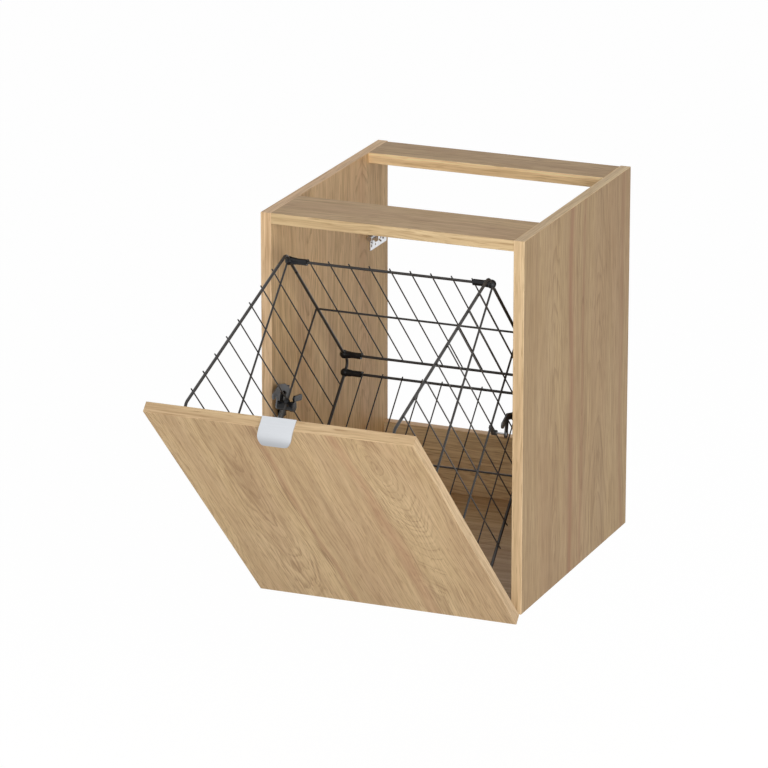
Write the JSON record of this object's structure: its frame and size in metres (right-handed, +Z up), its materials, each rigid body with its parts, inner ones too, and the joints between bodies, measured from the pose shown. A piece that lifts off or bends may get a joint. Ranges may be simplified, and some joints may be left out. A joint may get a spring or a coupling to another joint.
{
  "type": "laundry cabinet",
  "caption": "Wall-hung under-counter cabinet of oak boards; its front tilts out on bottom hinges and carries a wire laundry basket.",
  "frame": {"origin": "on the wall plane, at the middle of the carcass's lower rear edge", "axes": "+X to the cabinet's right as seen from the front, -Y out of its front, +Z up"},
  "size_m": [0.4, 0.8449, 0.5602],
  "materials": {
    "carcass_oak": "satin oak veneer",
    "front_oak": "satin oak veneer",
    "dowel_wood": "plain beech",
    "zinc": "bright zinc plate",
    "screw_steel": "zinc-plated",
    "hinge_steel": "zinc-plated sheet",
    "lever_steel": "dull zinc-plated sheet",
    "handle_aluminium": "satin anodised",
    "basket_wire": "dark grey powder coat",
    "black_plastic": "moulded, slightly glossy",
    "bumper_plastic": "soft and translucent"
  },
  "bodies": {
    "carcass": {"left_side_panel": "carcass_oak", "right_side_panel": "carcass_oak", "bottom_panel": "carcass_oak", "back_board": "carcass_oak", "front_top_rail": "carcass_oak", "rear_top_rail": "carcass_oak", "dowels": "dowel_wood", "cam_bolts": "zinc", "cam_locks": "zinc", "left_wall_hanger": "zinc", "right_wall_hanger": "zinc", "left_hanger_hook": "zinc", "right_hanger_hook": "zinc", "hanger_adjusting_screws": "screw_steel", "hanger_fixing_screws": "screw_steel", "left_stop_block": "black_plastic", "right_stop_block": "black_plastic", "stop_block_screws": "screw_steel", "left_hinge_fixed_leaf": "hinge_steel", "right_hinge_fixed_leaf": "hinge_steel", "left_hinge_pin": "screw_steel", "right_hinge_pin": "screw_steel", "fixed_leaf_screws": "screw_steel"},
    "front": {"front_panel": "front_oak", "front_bumpers": "bumper_plastic", "handle": "handle_aluminium", "handle_screws": "screw_steel", "left_hinge_front_leaf": "hinge_steel", "right_hinge_front_leaf": "hinge_steel", "front_leaf_screws": "screw_steel", "basket_left_side": "basket_wire", "basket_right_side": "basket_wire", "basket_back_grid": "basket_wire", "basket_bottom_grid": "basket_wire", "upper_left_connector": "black_plastic", "upper_right_connector": "black_plastic", "middle_left_connector": "black_plastic", "middle_right_connector": "black_plastic", "lower_left_connector": "black_plastic", "lower_right_connector": "black_plastic", "front_left_connector": "black_plastic", "front_right_connector": "black_plastic", "basket_saddles": "black_plastic", "saddle_screws": "screw_steel", "left_lever_holder": "black_plastic", "right_lever_holder": "basket_wire"},
    "left_lever": {"left_stop_lever": "lever_steel", "left_lever_shaft": "screw_steel", "left_release_knob": "black_plastic"},
    "right_lever": {"right_stop_lever": "lever_steel", "right_lever_shaft": "screw_steel"}
  },
  "joints": [
    {"name": "front_tilt", "type": "hinge", "parent": "carcass", "child": "front", "pos_m": [0, -0.433, 0.0003], "axis": [1, 0, 0], "range_deg": [-45.3, 0]},
    {"name": "left_lever_lift", "type": "hinge", "parent": "front", "child": "left_lever", "pos_m": [0, -0.43272, 0.26672], "axis": [1, 0, 0], "range_deg": [0, 30]},
    {"name": "right_lever_lift", "type": "hinge", "parent": "front", "child": "right_lever", "pos_m": [0, -0.43272, 0.26672], "axis": [1, 0, 0], "range_deg": [0, 30]}
  ]
}
